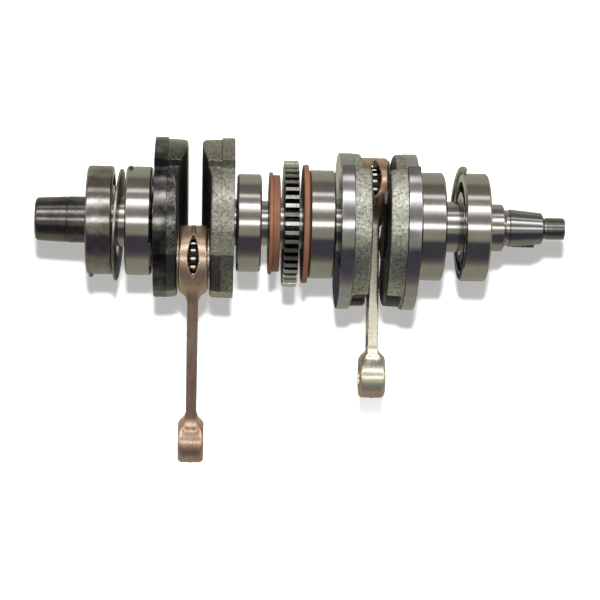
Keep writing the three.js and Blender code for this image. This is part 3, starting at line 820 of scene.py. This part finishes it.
def rod_points():
    """Points and faces of a connecting rod, with the crankpin at the origin and the beam down."""
    pad = 1.5
    low = np.array([-ROD["big_half"] - pad, -ROD["big"] - pad, -ROD["length"] - ROD["small"] - pad])
    high = np.array([ROD["big_half"] + pad, ROD["big"] + pad, ROD["big"] + pad])
    axes = [np.arange(a, b, VOXEL) for a, b in zip(low, high)]
    x, y, z = np.meshgrid(*axes, indexing="ij")
    wide = np.abs(x)
    big = np.hypot(y, z)
    small = np.hypot(y, z + ROD["length"])
    flash = 0.3 * np.exp(-(x / 0.9) ** 2)
    big_eye = rounded_box([big - ROD["big"] + 0.3 - flash, wide - ROD["big_half"]], 1.5)
    small_eye = rounded_box([small - ROD["small"] + 0.3 - flash, wide - ROD["small_half"]], 3.0)
    share = np.clip((-z - 22) / (ROD["length"] - 40), 0, 1)
    beam_side = 12.5 - 3.75 * share
    beam_end = np.abs(z + ROD["length"] / 2) - 50
    beam = rounded_box([wide - ROD["beam_half"], np.abs(y) - beam_side, beam_end], 1.0)
    channel_side = beam_side - 3.3
    channel = rounded_box([1.7 - wide, np.abs(y) - channel_side, np.abs(z + 68) - 31], 1.2)
    body = smooth_cut(beam, channel, 1.2)
    body = smooth_union(body, big_eye, 9)
    body = smooth_union(body, small_eye, 8)
    body = smooth_cut(body, big - ROD["big_bore"], 0.7)
    body = smooth_cut(body, small - ROD["small_bore"], 0.9)
    slot = np.hypot(wide + SLOT["arc"] - SLOT["half"], z - SLOT["height"]) - SLOT["arc"]
    body = smooth_cut(body, slot, 0.9)
    grid = openvdb.FloatGrid(float(3 * VOXEL))
    grid.copyFromArray(np.clip(body, -3 * VOXEL, 3 * VOXEL).astype(np.float32))
    points, quads = grid.convertToQuads()
    return points * VOXEL + low, quads.tolist()


rod_shape, rod_faces = rod_points()
for side in ("left", "right"):
    pin_x, pin_y, pin_z = centre(side + "_crankpin")
    eye = mount(side + "_small_eye_face_pto_side")
    swing = math.degrees(math.atan2(eye[1] - pin_y, pin_z - eye[2]))
    rod = mesh_of(side + "_rod", rod_shape, rod_faces, sharp=60)
    # Painted highlight: the faces turned to -Y on the beam and small end are marked front.
    low_part = np.array([v.co.z for v in rod.vertices]) / MM
    facing = np.array([-v.normal.y for v in rod.vertices])
    paint(rod, "front", smooth(facing, 0.5, 0.85) * (1 - smooth(low_part, -30, -18)))
    moved(rod, x=pin_x, y=pin_y, z=pin_z, turn=swing)
    finish = {"left": COPPERED, "right": COPPERED_PAINTED_HIGHLIGHT}[side]
    add_piece(rod, finish, side + "_rod", "coppered_rod", side + "_connecting_rod")


# ------------------------------------------------------------------ bearings

MAIN_BEARING = {"bore": 17.65, "pitch": 26.75, "ball": 5.55, "inner": 23.4, "outer": 30.2}
MID_BEARING = {"bore": 15.15, "pitch": 23.8, "ball": 4.75, "inner": 20.9, "outer": 26.8}
BALLS = 9
BEARINGS = [
    ("pto_outer", MAIN_BEARING, SCUFFED), ("pto_inner", MAIN_BEARING, POLISHED),
    ("center_small", MID_BEARING, POLISHED), ("center_large", MAIN_BEARING, POLISHED),
    ("mag_inner", MAIN_BEARING, POLISHED), ("mag_outer", MAIN_BEARING, POLISHED),
]


def race(name, start, end, land, shoulder, sizes, side):
    """A race ring: land is its plain cylinder and shoulder the edge of its ball groove, which lies
    inside an outer ring, side 1, and outside an inner ring, side -1."""
    middle = (start + end) / 2
    reach = sizes["ball"] + 0.35
    rise = abs(shoulder - sizes["pitch"])
    half = math.sqrt(reach ** 2 - rise ** 2)
    groove = []
    for angle in np.linspace(-1, 1, 15) * math.atan2(half, rise):
        groove.append((middle + reach * math.sin(angle), sizes["pitch"] + side * reach * math.cos(angle)))
    corner = 1.1
    plain = [(start, shoulder), (start, land - corner * side), (start + corner, land),
             (end - corner, land), (end, land - corner * side), (end, shoulder)]
    return lathe(name, plain + groove[::-1], 0.3, closed=True, steps=256)


def ball_ring(name, middle, sizes):
    parts = []
    arc = np.linspace(0, math.pi, 17)
    profile = np.stack([-np.cos(arc), np.sin(arc)], axis=1) * sizes["ball"]
    rings = around_axis(profile[None, :, 0], profile[None, :, 1], turns(32))
    for i in range(BALLS):
        angle = 2 * math.pi * i / BALLS
        ball = mesh_of(name, *loft(rings))
        parts.append(moved(ball, middle, sizes["pitch"] * math.sin(angle), sizes["pitch"] * math.cos(angle)))
    return joined(name, parts)


def ball_cage(name, middle, sizes):
    """Two pressed ribbons that wrap the balls and meet between them, with a rivet at each land."""
    parts = []
    thick = 0.75
    steps = 24
    for side in (-1, 1):
        rings = []
        for i in range(BALLS * steps):
            away = abs((i / steps + 0.5) % 1 - 0.5) * 2 * math.pi / BALLS * sizes["pitch"]
            lift = math.sqrt(max((sizes["ball"] + 0.25) ** 2 - away ** 2, 0.01))
            angle = -2 * math.pi * i / (BALLS * steps)
            x = middle + side * np.array([lift, lift, lift + thick, lift + thick])
            radius = sizes["pitch"] + np.array([-1.5, 1.5, 1.5, -1.5])
            rings.append(around_axis(x, radius, angle))
        parts.append(mesh_of(name, *loft(rings, closed=True), sharp=50))
    for i in range(BALLS):
        angle = 2 * math.pi * (i + 0.5) / BALLS
        profile = [(-1.5, 0), (-1.4, 0.6), (-0.95, 1), (0.95, 1), (1.4, 0.6), (1.5, 0)]
        rivet = lathe(name, profile, 0.2, steps=20)
        parts.append(moved(rivet, middle, sizes["pitch"] * math.sin(angle), sizes["pitch"] * math.cos(angle)))
    return joined(name, parts)


for name, sizes, finish in BEARINGS:
    start, end = ends(name + "_outer_race")
    middle = (start + end) / 2
    rim = outer_radius(name + "_outer_race")
    add_piece(race(name + "_outer_ring", start, end, rim, sizes["outer"], sizes, 1),
              finish, name + "_race", "bearing_steel", name + "_outer_race")
    add_piece(race(name + "_inner_ring", start, end, sizes["bore"] - 0.3, sizes["inner"], sizes, -1),
              POLISHED, "crank", "bearing_steel", name + "_inner_race")
    node = name + "_ball_set"
    add_piece(ball_ring(name + "_balls", middle, sizes), BALL, name + "_balls", "bearing_steel", node)
    add_piece(ball_cage(name + "_cage", middle, sizes), CAGE, name + "_balls", "bearing_steel", node)

for name in ("pto_outer", "pto_inner"):
    node = name + "_locating_pin"
    at = centre(node)
    direction = math.degrees(math.atan2(-at[1], at[2]))
    height = math.hypot(at[1], at[2])
    dowel = lathe(name + "_dowel", [(-1.8, 0), (-1.8, 1.4), (0.9, 1.4), (1.45, 1.1), (1.8, 0)], 0.3, steps=40)
    dowel.transform(Matrix.Rotation(math.radians(-90), 4, "Y"))
    moved(dowel, z=height)
    moved(dowel, x=at[0], turn=direction)
    add_piece(dowel, CAGE, name + "_race", "bearing_steel", node)


# ------------------------------------------------------------------ gear, seals and rings

GEAR_TEETH = 44


def gear_mesh(name, start, end, bore, root, tip):
    """A toothed ring: flat-topped teeth with softened edges, a fine groove round them and painted
    shade in the gaps.
    """
    shares = np.array([-0.5, -0.36, -0.31, -0.27, -0.24, -0.21, -0.1, 0, 0.1, 0.21, 0.24, 0.27, 0.31, 0.36])
    height = np.array([0, 0, 0.06, 0.45, 0.86, 1, 1, 1, 1, 1, 0.86, 0.45, 0.06, 0])
    bevel = 0.45
    groove = start + (end - start) * 0.75
    sections = [(start, 1), (start + bevel * 0.5, 0.3), (start + bevel, 0), (groove - 0.25, 0),
                (groove - 0.1, 0.55), (groove + 0.1, 0.55), (groove + 0.25, 0), (end - bevel, 0),
                (end - bevel * 0.5, 0.3), (end, 1)]
    rings = []
    for tooth in range(GEAR_TEETH):
        for share, level in zip(shares, height):
            angle = 2 * math.pi * (tooth + share) / GEAR_TEETH + math.pi / 2
            radius = root + (tip - root) * level
            top = [(x, radius - bevel * cut) for x, cut in sections]
            outline = np.array([(start, bore), *top, (end, bore)])
            rings.append(around_axis(outline[:, 0], outline[:, 1], angle))
    mesh = mesh_of(name, *loft(rings, closed=True), sharp=28)
    out = np.array([math.hypot(v.co.y, v.co.z) for v in mesh.vertices]) / MM
    # Painted shade: below the tooth tips, in the gaps, the gear is marked shaded.
    paint(mesh, "shaded", 1 - smooth(out, tip - 1.8, tip - 0.7))
    return mesh


gear_start, gear_end = ends("drive_gear")
add_piece(gear_mesh("toothed_gear", gear_start, gear_end, JOURNAL_RADIUS - 0.3, 37.9, 41.85),
          GEAR, "crank", "gear_steel", "drive_gear")

seal_start, seal_end = ends("left_center_seal")
rim = outer_radius("left_center_seal")
bore = JOURNAL_RADIUS + 0.4
add_piece(lathe("left_seal_ring", [
    (seal_start, bore), (seal_start, rim - 0.5), (seal_start + 0.4, rim), (seal_start + 2.2, rim),
    (seal_start + 2.5, rim - 1.75), (seal_end - 2.6, rim - 1.75), (seal_end - 2.3, rim - 2.05),
    (seal_end - 2, rim - 1.75), (seal_end - 0.4, rim - 1.75), (seal_end, rim - 2.2), (seal_end, bore)],
    0.3, closed=True), ORANGE, "left_seal", "orange_seal", "left_center_seal")

seal_start, seal_end = ends("right_center_seal")
rim = outer_radius("right_center_seal")
add_piece(lathe("right_seal_ring", [
    (seal_start, bore), (seal_start, rim - 9), (seal_start + 0.5, rim - 8), (seal_start + 0.5, rim - 3),
    (seal_start, rim - 2.2), (seal_start, rim - 0.6), (seal_start + 0.6, rim), (seal_end - 0.5, rim),
    (seal_end, rim - 0.5), (seal_end, bore)], 0.35, closed=True), ORANGE, "right_seal", "orange_seal",
    "right_center_seal")

ring_at = centre("loose_retaining_ring")
LOOSE_RING = {"outer": 37.1, "hole": 20.8, "thickness": 1.5, "tilt_y": 2.6, "tilt_z": -2.5}
half = LOOSE_RING["thickness"] / 2
loose = lathe("loose_flat_ring", [(-half, LOOSE_RING["hole"]), (-half, LOOSE_RING["outer"]),
                                  (half, LOOSE_RING["outer"]), (half, LOOSE_RING["hole"])], 0.35, closed=True)
tilt = Matrix.Rotation(math.radians(LOOSE_RING["tilt_y"]), 4, "Y") \
    @ Matrix.Rotation(math.radians(LOOSE_RING["tilt_z"]), 4, "Z")
loose.transform(tilt)
moved(loose, ring_at[0], 0, ring_at[2])
add_piece(loose, RING, "loose_ring", "ring_steel", "loose_retaining_ring")

HALF_RING = {"x": 117.9, "inner": 36.5, "outer": 40.5, "thickness": 2, "from": -14, "to": 100, "tilt": 3.7}


def half_ring_mesh(name):
    """A flat half hoop with softened edges and rounded ends."""
    inner, outer, half = HALF_RING["inner"], HALF_RING["outer"], HALF_RING["thickness"] / 2
    angles = np.radians(np.linspace(HALF_RING["from"], HALF_RING["to"], 121))
    rings = []
    for angle in angles:
        into = min(angle - angles[0], angles[-1] - angle) * outer
        narrow = 0.75 * (1 - math.sqrt(max(0, 1 - (1 - min(into / 1.2, 1)) ** 2)))
        section = soften([(-half, inner + narrow), (-half, outer - narrow), (half, outer - narrow),
                          (half, inner + narrow)], 0.3, closed=True)
        rings.append(around_axis(section[:, 0], section[:, 1], -angle))
    return mesh_of(name, *loft(rings, around=False, closed=True))


hoop = half_ring_mesh("half_hoop")
hoop.transform(Matrix.Rotation(math.radians(HALF_RING["tilt"]), 4, "Z"))
moved(hoop, x=HALF_RING["x"])
add_piece(hoop, RING, "half_ring", "ring_steel", "half_retaining_ring")


# ------------------------------------------------------------------ stage, light and camera

def add_node(tree, kind, links=(), **values):
    """A new node. Each link is an input and the output that feeds it."""
    made = tree.nodes.new(kind)
    for socket, source in links:
        tree.links.new(source, made.inputs[socket])
    for socket, value in values.items():
        made.inputs[socket.replace("_", " ")].default_value = value
    return made


def white_card():
    """White card that glows as its face turns up and is seen from the front only."""
    made = bpy.data.materials.new("white_card")
    made.use_nodes = True
    tree = made.node_tree
    tree.nodes.clear()
    card = add_node(tree, "ShaderNodeBsdfDiffuse", Color=(0.66, 0.66, 0.67, 1))
    face = add_node(tree, "ShaderNodeNewGeometry")
    slope = add_node(tree, "ShaderNodeSeparateXYZ", [(0, face.outputs["Normal"])])
    glow = add_node(tree, "ShaderNodeEmission", [("Strength", slope.outputs["Z"])])
    both = add_node(tree, "ShaderNodeAddShader", [(0, card.outputs[0]), (1, glow.outputs[0])])
    clear = add_node(tree, "ShaderNodeBsdfTransparent")
    pick = add_node(tree, "ShaderNodeMixShader", [(0, face.outputs["Backfacing"]), (1, both.outputs[0]),
                                                  (2, clear.outputs[0])])
    add_node(tree, "ShaderNodeOutputMaterial", [("Surface", pick.outputs[0])])
    return made


STAGE = {"front": -1.4, "back": 0.2, "floor": -0.19, "top": 1.6, "side": 3.0, "bend": 0.1}


def sweep():
    """A floor that curves up into a wall behind the part."""
    line = [(STAGE["front"], STAGE["floor"]), (STAGE["back"] - STAGE["bend"], STAGE["floor"])]
    for angle in np.radians(np.linspace(10, 90, 9)):
        line.append((STAGE["back"] - STAGE["bend"] + STAGE["bend"] * math.sin(angle),
                     STAGE["floor"] + STAGE["bend"] - STAGE["bend"] * math.cos(angle)))
    line.append((STAGE["back"], STAGE["top"]))
    points = [(x, y, z) for x in (-STAGE["side"], STAGE["side"]) for y, z in line]
    count = len(line)
    faces = [(i, i + count, i + count + 1, i + 1) for i in range(count - 1)]
    mesh = bpy.data.meshes.new("studio_sweep")
    mesh.from_pydata(points, [], faces)
    mesh.shade_smooth()
    return mesh


backdrop = bpy.data.objects.new("studio_sweep", sweep())
bpy.context.scene.collection.objects.link(backdrop)
backdrop.data.materials.append(white_card())
backdrop.visible_glossy = False
backdrop.visible_diffuse = False
backdrop.visible_shadow = False

# What the metal reflects: cards and strip lights that run beside the crank. Each stop is an angle
# up from the camera's side, in degrees, a brightness and a tint.
KHAKI = (1.0, 1.0, 0.80)
BROWN = (1.0, 0.88, 0.80)
WHITE = (1.0, 0.985, 0.96)
NAVY = (0.92, 0.86, 1.12)
STUDIO = [
    (-180, 0.05, NAVY), (-172, 0.07, NAVY), (-163, 0.34, KHAKI), (-94, 0.34, KHAKI),
    (-80, 0.15, BROWN), (-68, 0.085, NAVY), (-34, 0.075, NAVY), (-27, 0.34, KHAKI),
    (-10, 0.36, KHAKI), (-6, 0.42, WHITE), (-3, 2.4, WHITE), (3, 2.4, WHITE), (7, 0.45, WHITE),
    (14, 0.26, KHAKI), (24, 0.36, WHITE), (33, 1.4, WHITE), (38, 3.0, WHITE), (43, 3.0, WHITE),
    (47, 0.42, WHITE), (60, 0.32, BROWN), (64, 1.3, WHITE), (68, 1.3, WHITE), (73, 0.24, BROWN),
    (98, 0.19, BROWN), (110, 0.40, KHAKI), (180, 0.44, KHAKI),
]


def studio_world():
    """White where the camera looks at it, and the studio's cards in every reflection."""
    world = bpy.data.worlds.new("studio")
    bpy.context.scene.world = world
    world.use_nodes = True
    tree = world.node_tree
    tree.nodes.clear()
    place = add_node(tree, "ShaderNodeTexCoord")
    parts = add_node(tree, "ShaderNodeSeparateXYZ", [(0, place.outputs["Generated"])])
    front = add_node(tree, "ShaderNodeMath", [(0, parts.outputs["Y"])])
    front.operation = "MULTIPLY"
    front.inputs[1].default_value = -1
    angle = add_node(tree, "ShaderNodeMath", [(0, parts.outputs["Z"]), (1, front.outputs[0])])
    angle.operation = "ARCTAN2"
    share = add_node(tree, "ShaderNodeMapRange", [("Value", angle.outputs[0])],
                     From_Min=-math.pi, From_Max=math.pi)
    ramp = add_node(tree, "ShaderNodeValToRGB", [(0, share.outputs[0])])
    top = max(strength for _, strength, _ in STUDIO)
    elements = ramp.color_ramp.elements
    while len(elements) < len(STUDIO):
        elements.new(0.5)
    for element, (degrees, strength, tint) in zip(elements, STUDIO):
        element.position = (degrees + 180) / 360
        element.color = (*(strength / top * c for c in tint), 1)
    light = add_node(tree, "ShaderNodeBackground", [("Color", ramp.outputs[0])], Strength=top)
    seen = add_node(tree, "ShaderNodeBackground", Color=(1, 1, 1, 1))
    path = add_node(tree, "ShaderNodeLightPath")
    pick = add_node(tree, "ShaderNodeMixShader", [(0, path.outputs["Is Camera Ray"]),
                                                  (1, light.outputs[0]), (2, seen.outputs[0])])
    add_node(tree, "ShaderNodeOutputWorld", [("Surface", pick.outputs[0])])


studio_world()
bpy.context.scene.view_settings.view_transform = "Standard"

# Places in metres and angles in degrees.
CAMERA = {"x": -0.0468, "distance": 1.3, "height": 0.0, "lens": 117.0,
          "yaw": 2.535, "pitch": 2.235, "roll": 1.15}

camera = bpy.data.objects.new("camera", bpy.data.cameras.new("camera"))
camera.data.lens = CAMERA["lens"]
camera.data.clip_start = 0.05
camera.data.clip_end = 20
camera.matrix_world = (
    Matrix.Translation((CAMERA["x"], -CAMERA["distance"], CAMERA["height"]))
    @ Matrix.Rotation(math.radians(-CAMERA["yaw"]), 4, "Z")
    @ Matrix.Rotation(math.radians(90 - CAMERA["pitch"]), 4, "X")
    @ Matrix.Rotation(math.radians(CAMERA["roll"]), 4, "Z")
)
bpy.context.scene.collection.objects.link(camera)
bpy.context.scene.camera = camera

# A lamp just above the camera throws the shadow on the card behind; it lights only the card.
lamp = bpy.data.objects.new("card_lamp", bpy.data.lights.new("card_lamp", "AREA"))
lamp.data.shape = "DISK"
lamp.data.size = 0.04
lamp.data.energy = 40
lamp.location = (CAMERA["x"], -CAMERA["distance"], CAMERA["height"] + 0.1)
lamp.rotation_euler = (math.radians(90), 0, 0)
bpy.context.scene.collection.objects.link(lamp)
lit = bpy.data.collections.new("lit_by_card_lamp")
lit.objects.link(backdrop)
lamp.light_linking.receiver_collection = lit
